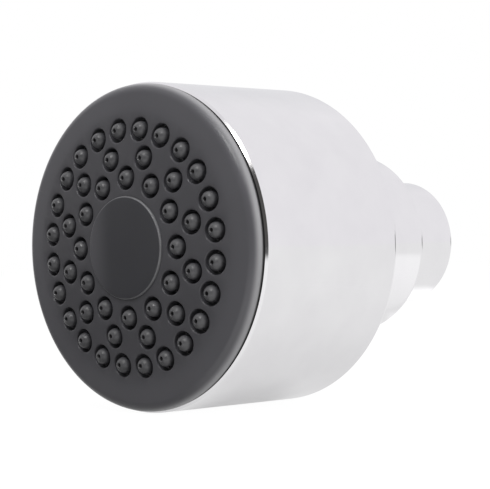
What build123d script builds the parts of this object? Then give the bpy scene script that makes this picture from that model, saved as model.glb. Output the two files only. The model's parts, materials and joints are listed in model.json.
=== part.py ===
from build123d import *
import os
from math import cos, radians, sin, sqrt, tan

# Shower head with a domed spray face, a plated bell and a ball swivel. Sizes are in millimetres.
# The Y axis is the axis of the head. The origin is on it, where the inlet thread starts. The shower
# arm leaves along +Y, the water leaves along -Y, and +Z is up. Turned pieces are drawn as half
# sections in the XY plane, x being the radius, and revolved about Y.

# Outline of the plated pieces
BELL_DIAMETER = 77.0
BELL_LENGTH = 44.9
BELL_WALL = 1.6
BELL_RIM_CHAMFER = 0.55
BELL_EDGE_RADIUS = 1.0
SHOULDER_LENGTH = 15.6
SHOULDER_LEDGE = 0.8
COLLAR_DIAMETER = 45.6
COLLAR_LENGTH = 15.3
COLLAR_WALL = 2.3
COLLAR_EDGE_RADIUS = 1.0
INLET_NUT_DIAMETER = 31.8
INLET_NUT_LENGTH = 15.25
NUT_EDGE_RADIUS = 0.8

# Spray face
DOME_RADIUS = 210.0
FACE_THICKNESS = 2.6
FACE_EDGE_RADIUS = 2.8
FACE_SET_IN = 0.4
FACE_GROOVE = 0.7
FACE_SEAT = 0.3
SKIRT_LENGTH = 6.0
SKIRT_WALL = 1.6
CAP_LAND = 1.45
CAP_PROUD = 0.6
CAP_DEPTH = 1.4
CAP_EDGE_RADIUS = 0.5
CAP_SPIGOT_DIAMETER = 12.0
CAP_SPIGOT_WALL = 1.1
CAP_SPIGOT_LENGTH = 2.6

# Nozzles: each ring has its count and the angle of its first nozzle, and the two inner rings keep
# to a share of the outer one's radius
OUTER_RING_RADIUS = 27.4
OUTER_RING_COUNT = 24
OUTER_RING_TURN = 7.5
MIDDLE_RING_SHARE = 0.774
MIDDLE_RING_COUNT = 12
MIDDLE_RING_TURN = 15.0
INNER_RING_SHARE = 0.588
INNER_RING_COUNT = 12
INNER_RING_TURN = 0.0
FACE_HOLE_DIAMETER = 5.5
NIPPLE_DIAMETER = 3.8
NIPPLE_PROUD = 1.2
NIPPLE_CROWN_RADIUS = 1.25
OUTLET_DIAMETER = 1.1
MAT_THICKNESS = 1.5

# Water chamber and what closes it
CHAMBER_MARGIN = 3.4
HUB_DIAMETER = 17.0
HUB_LENGTH = 8.8
PLATE_THICKNESS = 2.5
FEED_HOLE_DIAMETER = 3.6
FEED_HOLE_COUNT = 12
SEAL_THICKNESS = 1.5
SEAL_WIDTH = 2.8
SCREW_DIAMETER = 3.5
SCREW_HEAD_DIAMETER = 7.2
SCREW_HEAD_HEIGHT = 2.0
SCREW_LENGTH = 18.0
SCREW_WASHER_THICKNESS = 0.8
SCREW_FLOOR = 2.4
INSERT_DIAMETER = 5.8
INSERT_LENGTH = 10.0

# Waterway: funnel, throat and ball cup
FUNNEL_WALL = 2.2
FLANGE_THICKNESS = 2.5
THROAT_DIAMETER = 12.0
THROAT_LENGTH = 6.0
BOSS_DIAMETER = 10.4
BOSS_LENGTH = 15.5
RIB_COUNT = 3
RIB_THICKNESS = 2.2
RIB_LENGTH = 9.0

# Ball swivel
BALL_DIAMETER = 26.0
BALL_FRONT_DIAMETER = 18.4
SWIVEL_REACH = 17.0
STEM_DIAMETER = 15.0
SPIGOT_DIAMETER = 13.0
STEM_BORE_DIAMETER = 8.4
MOUTH_DIAMETER = 23.0
MOUTH_FLARE = 1.2
LIP_THICKNESS = 1.5
LINER_WALL = 5.0
LINER_FRONT = 2.1
LINER_TOUCH = 20.0
SEAT_THICKNESS = 1.7
SEAT_WIDTH = 4.4
SEAT_TOUCH = 24.0
CUP_DEPTH = 13.2

# Inlet
THREAD_WALL_DIAMETER = 18.6
THREAD_LENGTH = 11.0
MOUTH_CHAMFER = 0.6
INLET_WASHER_DIAMETER = 19.4
INLET_WASHER_HOLE = 14.2
INLET_WASHER_THICKNESS = 2.0
FILTER_RIM_WIDTH = 1.3
FILTER_RIM_HEIGHT = 1.6
FILTER_FLOOR = 0.6
FILTER_MESH_PITCH = 1.8
FILTER_MESH_GAP = 1.2
REGULATOR_DIAMETER = 10.4
REGULATOR_THICKNESS = 2.4
REGULATOR_DEPTH = 5.0
REGULATOR_HOLE_DIAMETER = 1.6
REGULATOR_HOLE_CIRCLE = 5.2
REGULATOR_HOLE_COUNT = 6
REGULATOR_SEAL_THICKNESS = 1.4
REGULATOR_SEAL_HOLE = 6.8

# Clearances on the radius
BALL_PLAY = 0.25
TURN_PLAY = 0.15
FIT = 0.05
LOOSE_FIT = 0.15
SWING_CLEARANCE = 0.4

os.makedirs("parts", exist_ok=True)

# Radii that several pieces share
bell_r = BELL_DIAMETER / 2
bell_bore = bell_r - BELL_WALL
collar_r = COLLAR_DIAMETER / 2
neck_r = collar_r - COLLAR_WALL - LOOSE_FIT
nut_r = INLET_NUT_DIAMETER / 2
ball_r = BALL_DIAMETER / 2
stem_r = STEM_DIAMETER / 2
mouth_r = MOUTH_DIAMETER / 2
face_r = bell_r - FACE_SET_IN
skirt_r = bell_bore - LOOSE_FIT
skirt_bore = skirt_r - SKIRT_WALL
groove_r = bell_bore + FACE_SEAT
hub_r = HUB_DIAMETER / 2
inner_ring_r = OUTER_RING_RADIUS * INNER_RING_SHARE
cap_r = inner_ring_r - FACE_HOLE_DIAMETER / 2 - CAP_LAND

# Places along Y, from the inlet mouth forwards to the face
lip_from_ball = sqrt((ball_r + BALL_PLAY) ** 2 - mouth_r**2)
collar_from_ball = lip_from_ball + LIP_THICKNESS
swing = radians(SWIVEL_REACH)
nut_from_ball = (collar_from_ball + SWING_CLEARANCE + nut_r * sin(swing)) / cos(swing)
nut_end = MOUTH_CHAMFER
nut_front = nut_end - INLET_NUT_LENGTH
ball_y = nut_front - nut_from_ball
collar_back = ball_y + collar_from_ball
collar_front = collar_back - COLLAR_LENGTH
bell_edge = collar_front - SHOULDER_LENGTH
bell_rim = bell_edge - BELL_LENGTH

# The face's rolled edge touches the dome from inside. The face sits on the inner part of the bell's rim,
# and a groove keeps its edge off the rest of it
edge_centre_r = face_r - FACE_EDGE_RADIUS
edge_reach = DOME_RADIUS - FACE_EDGE_RADIUS
edge_y = bell_rim - FACE_GROOVE
dome_y = edge_y + sqrt(edge_reach**2 - edge_centre_r**2)
apex_y = dome_y - DOME_RADIUS
edge_touch_r = edge_centre_r * DOME_RADIUS / edge_reach
edge_slant = sqrt(0.5)


def dome_at(radius, proud=0.0):
    """Place along Y of the point at this radius on the face's dome, or this far outside it."""
    return dome_y - sqrt((DOME_RADIUS + proud) ** 2 - radius**2)


def dome_arc(inner, outer, proud=0.0):
    """Arc of the face's dome, or of one this far outside it, between two radii."""
    radii = (inner, (inner + outer) / 2, outer)
    return ThreePointArc(*[(radius, dome_at(radius, proud)) for radius in radii])


def turned_ring(inner_r, outer_r, front_y, back_y):
    """Flat ring about the Y axis."""
    with BuildPart() as ring:
        with BuildSketch(Plane.XY):
            with Locations(((inner_r + outer_r) / 2, (front_y + back_y) / 2)):
                Rectangle(outer_r - inner_r, back_y - front_y)
        revolve(axis=Axis.Y)
    return ring


def save(piece, name):
    """Label a finished piece and write it."""
    piece.part.label = name
    export_step(piece.part, f"parts/{name}.step")


def front_plane(y):
    """Plane across the axis at this place, facing the spray side, with its own y axis up."""
    return Plane.XZ.offset(-y)


def widest_edges(piece):
    """Round edges across the axis that have the largest radius, from front to back."""
    rounds = piece.edges().filter_by(GeomType.CIRCLE).filter_by(Plane.XZ)
    return rounds.group_by(SortBy.RADIUS)[-1].sort_by(Axis.Y)


nozzle_rings = [
    (inner_ring_r, INNER_RING_COUNT, INNER_RING_TURN),
    (OUTER_RING_RADIUS * MIDDLE_RING_SHARE, MIDDLE_RING_COUNT, MIDDLE_RING_TURN),
    (OUTER_RING_RADIUS, OUTER_RING_COUNT, OUTER_RING_TURN),
]

# Places of the face's flat back and of what is stacked on it
chamber_r = OUTER_RING_RADIUS + CHAMBER_MARGIN
face_back = dome_at(chamber_r) + FACE_THICKNESS
mat_back = face_back + MAT_THICKNESS
cap_seat = apex_y + CAP_DEPTH
cap_recess_r = cap_r + LOOSE_FIT
hub_end = apex_y + HUB_LENGTH
plate_back = hub_end + PLATE_THICKNESS
flange_front = plate_back + SEAL_THICKNESS
screw_seat = hub_end - SCREW_FLOOR
screw_hole_r = SCREW_DIAMETER / 2 + LOOSE_FIT
skirt_end = bell_rim + SKIRT_LENGTH
mat_r = skirt_bore - LOOSE_FIT

# Faceplate: domed front with a rolled edge, skirt inside the bell, hollow hub for the centre screw
with BuildPart() as faceplate:
    with BuildSketch(Plane.XY):
        with BuildLine():
            dome_arc(cap_recess_r, edge_touch_r)
            ThreePointArc(
                (edge_touch_r, dome_at(edge_touch_r)),
                (edge_centre_r + FACE_EDGE_RADIUS * edge_slant, edge_y - FACE_EDGE_RADIUS * edge_slant),
                (face_r, edge_y),
            )
            Polyline(
                (face_r, edge_y),
                (groove_r, edge_y),
                (groove_r, bell_rim),
                (skirt_r, bell_rim),
                (skirt_r, skirt_end),
                (skirt_bore, skirt_end),
                (skirt_bore, face_back),
                (hub_r, face_back),
                (hub_r, hub_end),
                (screw_hole_r, hub_end),
                (screw_hole_r, screw_seat),
                (CAP_SPIGOT_DIAMETER / 2 + FIT, screw_seat),
                (CAP_SPIGOT_DIAMETER / 2 + FIT, cap_seat),
                (cap_recess_r, cap_seat),
                (cap_recess_r, dome_at(cap_recess_r)),
            )
        make_face()
    revolve(axis=Axis.Y)
    with BuildSketch(front_plane(face_back)):
        for ring_radius, count, turn in nozzle_rings:
            with PolarLocations(ring_radius, count, turn):
                Circle(FACE_HOLE_DIAMETER / 2)
    extrude(amount=face_back - apex_y, mode=Mode.SUBTRACT)
save(faceplate, "faceplate")

# Nozzle mat: one soft sheet behind the face, with a nipple in every opening that bulges out of it
mat_bore = hub_r + LOOSE_FIT
with BuildPart() as nozzle_mat:
    with BuildSketch(front_plane(mat_back)):
        Circle(mat_r)
        Circle(mat_bore, mode=Mode.SUBTRACT)
    extrude(amount=MAT_THICKNESS)
    for ring_radius, count, turn in nozzle_rings:
        with BuildSketch(front_plane(face_back)):
            with PolarLocations(ring_radius, count, turn):
                Circle(NIPPLE_DIAMETER / 2)
        extrude(amount=face_back - dome_at(ring_radius, NIPPLE_PROUD))
        fillet(nozzle_mat.edges(Select.LAST).group_by(Axis.Y)[0], NIPPLE_CROWN_RADIUS)
    with BuildSketch(front_plane(mat_back)):
        for ring_radius, count, turn in nozzle_rings:
            with PolarLocations(ring_radius, count, turn):
                Circle(OUTLET_DIAMETER / 2)
    extrude(amount=mat_back - apex_y + NIPPLE_PROUD, mode=Mode.SUBTRACT)
save(nozzle_mat, "nozzle_mat")

# Centre cap: plain disc let into the face, with a hollow spigot pressed into the hub
with BuildPart() as centre_cap:
    with BuildSketch(Plane.XY):
        with BuildLine():
            dome_arc(0, cap_r, CAP_PROUD)
            Polyline(
                (cap_r, dome_at(cap_r, CAP_PROUD)),
                (cap_r, cap_seat),
                (CAP_SPIGOT_DIAMETER / 2, cap_seat),
                (CAP_SPIGOT_DIAMETER / 2, cap_seat + CAP_SPIGOT_LENGTH),
                (CAP_SPIGOT_DIAMETER / 2 - CAP_SPIGOT_WALL, cap_seat + CAP_SPIGOT_LENGTH),
                (CAP_SPIGOT_DIAMETER / 2 - CAP_SPIGOT_WALL, cap_seat),
                (0, cap_seat),
                (0, dome_at(0, CAP_PROUD)),
            )
        make_face()
    revolve(axis=Axis.Y)
    fillet(widest_edges(centre_cap)[0], CAP_EDGE_RADIUS)
save(centre_cap, "centre_cap")

# Distributor plate: closes the chamber, presses on the mat's two rims and feeds it through a ring of holes
plate_r = skirt_bore - FIT
inner_rim_r = hub_r + CHAMBER_MARGIN
feed_circle = (inner_rim_r + chamber_r) / 2
with BuildPart() as distributor_plate:
    with BuildSketch(Plane.XY):
        with BuildLine():
            Polyline(
                (screw_hole_r, hub_end),
                (mat_bore, hub_end),
                (mat_bore, mat_back),
                (inner_rim_r, mat_back),
                (inner_rim_r, hub_end),
                (chamber_r, hub_end),
                (chamber_r, mat_back),
                (plate_r, mat_back),
                (plate_r, plate_back),
                (screw_hole_r, plate_back),
                close=True,
            )
        make_face()
    revolve(axis=Axis.Y)
    with BuildSketch(front_plane(plate_back)):
        with PolarLocations(feed_circle, FEED_HOLE_COUNT):
            Circle(FEED_HOLE_DIAMETER / 2)
    extrude(amount=PLATE_THICKNESS, mode=Mode.SUBTRACT)
save(distributor_plate, "distributor_plate")

# Flat seal between the plate and the flange of the waterway
seal_r = plate_r - LOOSE_FIT
face_seal = turned_ring(seal_r - SEAL_WIDTH, seal_r, plate_back, flange_front)
save(face_seal, "face_seal")

# Centre screw, its washer, and the threaded insert that it pulls on
screw_end = screw_seat + SCREW_LENGTH
washer_front = screw_seat - SCREW_WASHER_THICKNESS
insert_front = plate_back + FIT
boss_end = plate_back + BOSS_LENGTH
insert_bore = SCREW_DIAMETER / 2 + FIT
with BuildPart() as centre_screw:
    with BuildSketch(Plane.XY):
        with BuildLine():
            Polyline(
                (0, washer_front - SCREW_HEAD_HEIGHT),
                (SCREW_HEAD_DIAMETER / 2, washer_front - SCREW_HEAD_HEIGHT),
                (SCREW_HEAD_DIAMETER / 2, washer_front),
                (SCREW_DIAMETER / 2, washer_front),
                (SCREW_DIAMETER / 2, screw_end),
                (0, screw_end),
                close=True,
            )
        make_face()
    revolve(axis=Axis.Y)
save(centre_screw, "centre_screw")

screw_washer = turned_ring(insert_bore, SCREW_HEAD_DIAMETER / 2, washer_front, screw_seat)
save(screw_washer, "screw_washer")

screw_insert = turned_ring(insert_bore, INSERT_DIAMETER / 2, insert_front, insert_front + INSERT_LENGTH)
save(screw_insert, "screw_insert")

# Ball cup: its cone lies just outside the ball and the soft seat
seat_inner = ball_r + BALL_PLAY
seat_outer = seat_inner + SEAT_THICKNESS
socket_reach = sqrt(seat_outer**2 + (SEAT_WIDTH / 2) ** 2) + BALL_PLAY
cup_r = socket_reach + BALL_PLAY
touch = radians(SEAT_TOUCH)
throat_r = THROAT_DIAMETER / 2
socket_mid_r = socket_reach * cos(touch)
socket_mid_y = ball_y - socket_reach * sin(touch)
cup_corner_y = socket_mid_y + (cup_r - socket_mid_r) / tan(touch)
cup_floor = ball_y - CUP_DEPTH
cup_floor_r = socket_mid_r - (socket_mid_y - cup_floor) * tan(touch)
neck_end = ball_y + LINER_FRONT - TURN_PLAY
shoulder_y = collar_front - BELL_WALL
shoulder_r = collar_r - LOOSE_FIT
flange_r = bell_bore - LOOSE_FIT
funnel_r = seal_r - SEAL_WIDTH
funnel_end = cup_floor - THROAT_LENGTH
funnel_slope = (funnel_r - throat_r) / (funnel_end - flange_front)

# Waterway: flange, funnel, ball cup with the collar's thread, and the screw boss on three ribs
with BuildPart() as waterway:
    with BuildSketch(Plane.XY):
        with BuildLine():
            Polyline(
                (funnel_r, flange_front),
                (flange_r, flange_front),
                (flange_r, flange_front + FLANGE_THICKNESS),
                (funnel_r + FUNNEL_WALL, flange_front + FLANGE_THICKNESS),
                (throat_r + FUNNEL_WALL, funnel_end),
                (throat_r + FUNNEL_WALL, cup_floor - FUNNEL_WALL),
                (shoulder_r, cup_floor - FUNNEL_WALL),
                (shoulder_r, shoulder_y),
                (neck_r, shoulder_y),
                (neck_r, neck_end),
                (cup_r, neck_end),
                (cup_r, cup_corner_y),
                (cup_floor_r, cup_floor),
                (throat_r, cup_floor),
                (throat_r, funnel_end),
                close=True,
            )
        make_face()
    revolve(axis=Axis.Y)
    rib_front = flange_front + FUNNEL_WALL
    rib_back = rib_front + RIB_LENGTH
    rib_sink = FUNNEL_WALL / 2
    for rib in range(RIB_COUNT):
        angle = radians(90 + rib * 360 / RIB_COUNT)
        rib_plane = Plane((0, 0, 0), x_dir=(cos(angle), 0, sin(angle)), z_dir=(-sin(angle), 0, cos(angle)))
        with BuildSketch(rib_plane):
            with BuildLine():
                Polyline(
                    (BOSS_DIAMETER / 4 + INSERT_DIAMETER / 4, rib_front),
                    (funnel_r - funnel_slope * (rib_front - flange_front) + rib_sink, rib_front),
                    (funnel_r - funnel_slope * (rib_back - flange_front) + rib_sink, rib_back),
                    (BOSS_DIAMETER / 4 + INSERT_DIAMETER / 4, rib_back),
                    close=True,
                )
            make_face()
        extrude(amount=RIB_THICKNESS / 2, both=True)
    with BuildSketch(Plane.XY):
        with BuildLine():
            Polyline(
                (INSERT_DIAMETER / 2 + FIT, plate_back),
                (BOSS_DIAMETER / 2, plate_back),
                (BOSS_DIAMETER / 2, boss_end),
                (0, boss_end),
                (0, boss_end - FUNNEL_WALL),
                (INSERT_DIAMETER / 2 + FIT, boss_end - FUNNEL_WALL),
                close=True,
            )
        make_face()
    revolve(axis=Axis.Y)
save(waterway, "waterway")

# Bell: straight shell with a bevelled rim, cone behind it, and a rear lip that is held between the
# waterway's shoulder and the collar
ledge_r = collar_r + SHOULDER_LEDGE
cone_slope = (bell_r - ledge_r) / SHOULDER_LENGTH
cone_wall = BELL_WALL * sqrt(1 + cone_slope**2)
bore_edge = bell_edge - (cone_wall - BELL_WALL) / cone_slope
lip_cone_r = ledge_r - cone_wall + cone_slope * BELL_WALL
with BuildPart() as bell_shell:
    with BuildSketch(Plane.XY):
        with BuildLine():
            Polyline(
                (bell_bore, bell_rim),
                (bell_r, bell_rim),
                (bell_r, bell_edge),
                (ledge_r, collar_front),
                (neck_r + LOOSE_FIT, collar_front),
                (neck_r + LOOSE_FIT, shoulder_y),
                (lip_cone_r, shoulder_y),
                (bell_bore, bore_edge),
                close=True,
            )
        make_face()
    revolve(axis=Axis.Y)
    fillet(widest_edges(bell_shell)[-1], BELL_EDGE_RADIUS)
    chamfer(widest_edges(bell_shell)[0], BELL_RIM_CHAMFER)
save(bell_shell, "bell_shell")

# Collar nut: threaded on the cup, its lip holds the liner behind the ball
liner_r = ball_r + LINER_WALL
lip_front = collar_back - LIP_THICKNESS
with BuildPart() as collar_nut:
    with BuildSketch(Plane.XY):
        with BuildLine():
            Polyline(
                (neck_r + LOOSE_FIT, collar_front),
                (collar_r, collar_front),
                (collar_r, collar_back),
                (mouth_r + MOUTH_FLARE, collar_back),
                (mouth_r, lip_front),
                (liner_r + TURN_PLAY, lip_front),
                (liner_r + TURN_PLAY, neck_end + FIT),
                (neck_r + LOOSE_FIT, neck_end + FIT),
                close=True,
            )
        make_face()
    revolve(axis=Axis.Y)
    fillet(widest_edges(collar_nut)[-1], COLLAR_EDGE_RADIUS)
save(collar_nut, "collar_nut")

# Ball liner: slip ring whose cone touches the ball behind its middle
lean = radians(LINER_TOUCH)
liner_back = lip_front - TURN_PLAY
liner_front = ball_y + LINER_FRONT


def liner_cone(y):
    """Radius of the liner's cone at this place along Y."""
    return (seat_inner - (y - ball_y) * sin(lean)) / cos(lean)


with BuildPart() as ball_liner:
    with BuildSketch(Plane.XY):
        with BuildLine():
            Polyline(
                (liner_cone(liner_front), liner_front),
                (liner_r, liner_front),
                (liner_r, liner_back),
                (liner_cone(liner_back), liner_back),
                close=True,
            )
        make_face()
    revolve(axis=Axis.Y)
save(ball_liner, "ball_liner")

# Ball seat: soft conical ring between the ball and its cup
half_seat = SEAT_WIDTH / 2


def seat_point(reach, along):
    """Point of the seat's section, at this distance from the ball's centre and along the cone."""
    radius = reach * cos(touch) + along * sin(touch)
    return (radius, ball_y - reach * sin(touch) + along * cos(touch))


with BuildPart() as ball_seat:
    with BuildSketch(Plane.XY):
        with BuildLine():
            Polyline(
                seat_point(seat_inner, -half_seat),
                seat_point(seat_inner, half_seat),
                seat_point(seat_outer, half_seat),
                seat_point(seat_outer, -half_seat),
                close=True,
            )
        make_face()
    revolve(axis=Axis.Y)
save(ball_seat, "ball_seat")

# Swivel ball: cut flat in front, and flat behind where the stem's shoulder meets it
spigot_r = SPIGOT_DIAMETER / 2
ball_front_r = BALL_FRONT_DIAMETER / 2
ball_front = ball_y - sqrt(ball_r**2 - ball_front_r**2)
ball_back = ball_y + sqrt(ball_r**2 - stem_r**2)
with BuildPart() as swivel_ball:
    with BuildSketch(Plane.XY):
        with BuildLine():
            ThreePointArc((ball_front_r, ball_front), (ball_r, ball_y), (stem_r, ball_back))
            Polyline(
                (stem_r, ball_back),
                (spigot_r + FIT, ball_back),
                (spigot_r + FIT, ball_front),
                (ball_front_r, ball_front),
            )
        make_face()
    revolve(axis=Axis.Y)
save(swivel_ball, "swivel_ball")

# Inlet nut: pipe thread bore, washer relief, regulator pocket, and the hollow stem that carries the ball
thread_r = THREAD_WALL_DIAMETER / 2
thread_end = -THREAD_LENGTH
relief_r = INLET_WASHER_DIAMETER / 2 + LOOSE_FIT
floor_y = thread_end - INLET_WASHER_THICKNESS
pocket_r = REGULATOR_DIAMETER / 2 + FIT
pocket_end = floor_y - REGULATOR_DEPTH
bore_r = STEM_BORE_DIAMETER / 2
with BuildPart() as inlet_nut:
    with BuildSketch(Plane.XY):
        with BuildLine():
            Polyline(
                (thread_r + MOUTH_CHAMFER, nut_end),
                (nut_r, nut_end),
                (nut_r, nut_front),
                (stem_r, nut_front),
                (stem_r, ball_back),
                (spigot_r, ball_back),
                (spigot_r, ball_front),
                (bore_r, ball_front),
                (bore_r, pocket_end),
                (pocket_r, pocket_end),
                (pocket_r, floor_y),
                (relief_r, floor_y),
                (relief_r, thread_end),
                (thread_r, thread_end),
                (thread_r, 0),
                close=True,
            )
        make_face()
    revolve(axis=Axis.Y)
    fillet(widest_edges(inlet_nut), NUT_EDGE_RADIUS)
save(inlet_nut, "inlet_nut")

# Inlet washer, and the filter that sits inside it
inlet_washer = turned_ring(INLET_WASHER_HOLE / 2, INLET_WASHER_DIAMETER / 2, floor_y, thread_end)
save(inlet_washer, "inlet_washer")

filter_r = INLET_WASHER_HOLE / 2 - FIT
mesh_r = filter_r - FILTER_RIM_WIDTH
mesh_count = 2 * int((mesh_r - FILTER_MESH_GAP) / FILTER_MESH_PITCH) + 1
with BuildPart() as filter_screen:
    with BuildSketch(Plane.XY):
        with BuildLine():
            Polyline(
                (0, floor_y),
                (filter_r, floor_y),
                (filter_r, floor_y + FILTER_RIM_HEIGHT),
                (mesh_r, floor_y + FILTER_RIM_HEIGHT),
                (mesh_r, floor_y + FILTER_FLOOR),
                (0, floor_y + FILTER_FLOOR),
                close=True,
            )
        make_face()
    revolve(axis=Axis.Y)
    with BuildSketch(front_plane(floor_y + FILTER_FLOOR)):
        for column in range(mesh_count):
            for row in range(mesh_count):
                across = (column - (mesh_count - 1) / 2) * FILTER_MESH_PITCH
                up = (row - (mesh_count - 1) / 2) * FILTER_MESH_PITCH
                if sqrt(across**2 + up**2) < mesh_r - FILTER_MESH_GAP:
                    with Locations((across, up)):
                        Rectangle(FILTER_MESH_GAP, FILTER_MESH_GAP)
    extrude(amount=FILTER_FLOOR, mode=Mode.SUBTRACT)
save(filter_screen, "filter_screen")

# Flow regulator disc on its seal, at the bottom of the pocket
regulator_front = pocket_end + REGULATOR_SEAL_THICKNESS
with BuildPart() as flow_regulator:
    with BuildSketch(front_plane(regulator_front)):
        Circle(REGULATOR_DIAMETER / 2)
        with PolarLocations(REGULATOR_HOLE_CIRCLE / 2, REGULATOR_HOLE_COUNT):
            Circle(REGULATOR_HOLE_DIAMETER / 2, mode=Mode.SUBTRACT)
    extrude(amount=-REGULATOR_THICKNESS)
save(flow_regulator, "flow_regulator")

regulator_seal = turned_ring(REGULATOR_SEAL_HOLE / 2, REGULATOR_DIAMETER / 2, pocket_end, regulator_front)
save(regulator_seal, "regulator_seal")
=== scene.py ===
# %% [markdown]
# # A shower head in plated metal, satin plastic and soft rubber
# A measured CAD model of a wall shower head comes in as a fixed frame: nineteen pieces on four bodies,
# held together by a ball swivel. This lesson gives each piece that shows the form and the finish of the
# real one, lights it on a white table, and looks at it the way the photograph does.

# %% Load the frame and keep its box
import json
import math

import bmesh
import bpy
from mathutils import Matrix, Vector
from mathutils.geometry import delaunay_2d_cdt


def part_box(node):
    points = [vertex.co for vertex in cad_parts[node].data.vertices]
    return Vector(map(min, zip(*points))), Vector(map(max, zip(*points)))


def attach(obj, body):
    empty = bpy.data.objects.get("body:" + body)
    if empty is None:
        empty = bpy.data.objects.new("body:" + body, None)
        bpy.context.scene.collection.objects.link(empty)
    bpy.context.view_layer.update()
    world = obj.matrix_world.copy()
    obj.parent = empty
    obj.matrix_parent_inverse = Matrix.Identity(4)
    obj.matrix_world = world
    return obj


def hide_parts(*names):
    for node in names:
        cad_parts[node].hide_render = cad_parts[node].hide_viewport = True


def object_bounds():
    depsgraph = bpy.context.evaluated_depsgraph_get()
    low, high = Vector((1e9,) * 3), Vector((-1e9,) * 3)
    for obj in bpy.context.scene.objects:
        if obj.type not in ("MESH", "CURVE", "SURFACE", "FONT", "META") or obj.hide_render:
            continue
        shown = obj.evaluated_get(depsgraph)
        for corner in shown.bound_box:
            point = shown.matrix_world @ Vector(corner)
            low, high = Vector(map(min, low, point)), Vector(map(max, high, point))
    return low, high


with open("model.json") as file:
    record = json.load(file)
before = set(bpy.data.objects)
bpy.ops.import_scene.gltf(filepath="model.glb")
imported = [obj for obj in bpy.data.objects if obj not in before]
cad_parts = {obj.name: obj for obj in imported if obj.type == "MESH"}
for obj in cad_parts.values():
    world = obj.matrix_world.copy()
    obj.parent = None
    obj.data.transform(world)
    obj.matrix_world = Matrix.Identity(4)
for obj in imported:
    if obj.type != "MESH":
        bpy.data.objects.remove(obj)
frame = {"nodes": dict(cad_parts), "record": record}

cad_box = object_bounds()
print("CAD box:", [tuple(round(value * 1000, 2) for value in corner) for corner in cad_box])

# %% [markdown]
# ## Measures
# Y is the axis of the head. The water leaves along -Y and the shower arm leaves along +Y. Where the
# frame can tell a size, it is read from the CAD node's box, so that the dressed piece always fits the
# measured one. The few sizes that a box can't tell are written out in millimetres, each in the cell
# that needs it first.

# %% Measures from the frame
MM = 0.001
CAP_PROUD = 0.6 * MM
FACE_GROOVE = 0.7 * MM
bell_low, bell_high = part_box("bell_shell")
collar_low, collar_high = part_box("collar_nut")
nut_low, nut_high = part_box("inlet_nut")
_, face_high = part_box("faceplate")
cap_low, cap_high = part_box("centre_cap")
_, mat_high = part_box("nozzle_mat")

bell_r = bell_high.x
collar_r = collar_high.x
nut_r = nut_high.x
face_r = face_high.x
cap_r = cap_high.x
apex_y = cap_low.y + CAP_PROUD
roll_y = bell_low.y - FACE_GROOVE
print(f"face apex at {apex_y / MM:.2f} mm, its rolled edge ends at {roll_y / MM:.2f} mm")

# %% [markdown]
# ## Dome and nozzles
# The face is part of a large sphere, and the nozzles stand on it in three rings. Both are needed by more
# than one piece and by the finishes, so they come first: the dome as a function of the radius, which is
# handier than a sphere to cut from, and the nozzles as points in the plane of the face.

# %% Dome of the face and places of the nozzles
DOME_RADIUS = 210.0 * MM
NOZZLE_RINGS = [(16.11 * MM, 12, 0.0), (21.21 * MM, 12, 15.0), (27.4 * MM, 24, 7.5)]
dome_y = apex_y + DOME_RADIUS


def dome_at(radius, proud=0.0):
    """Place along Y of the face's dome at this radius, or of one this far outside it."""
    return dome_y - math.sqrt((DOME_RADIUS + proud) ** 2 - radius**2)


nozzles = []
for ring_radius, count, first_angle in NOZZLE_RINGS:
    for index in range(count):
        angle = math.radians(first_angle + index * 360 / count)
        nozzles.append(Vector((ring_radius * math.cos(angle), ring_radius * math.sin(angle))))
print(len(nozzles), "nozzles")

# %% [markdown]
# ## A small language for shader maths
# Node graphs get long when every sum is a box. `Wire` holds one output socket and lets Python's own
# operators add the Math nodes, so that a roughness can be written as `0.05 + 0.07 * haze`.

# %% Sockets that can be added and multiplied
class Wire:
    """An output socket of a finish's graph that Python's operators can work on."""

    def __init__(self, finish, socket):
        self.finish = finish
        self.socket = socket

    def maths(self, operation, first, second):
        """Add a Math node that works on two values."""
        return self.finish.node("ShaderNodeMath", {"operation": operation}, {0: first, 1: second})

    def __add__(self, other):
        return self.maths("ADD", self, other)

    def __radd__(self, other):
        return self.maths("ADD", other, self)

    def __sub__(self, other):
        return self.maths("SUBTRACT", self, other)

    def __rsub__(self, other):
        return self.maths("SUBTRACT", other, self)

    def __mul__(self, other):
        return self.maths("MULTIPLY", self, other)

    def __rmul__(self, other):
        return self.maths("MULTIPLY", other, self)

    def __abs__(self):
        return self.finish.node("ShaderNodeMath", {"operation": "ABSOLUTE"}, {0: self})


print("Wire knows + - * and abs")

# %% [markdown]
# `Finish` is one material, or the world: the graph, the node at the end of it, and one method that adds
# any other node. The rest of its methods are the few recipes that the finishes below share. They work on
# the place on the piece itself, in metres, so a grain has the same size on every piece.

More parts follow.
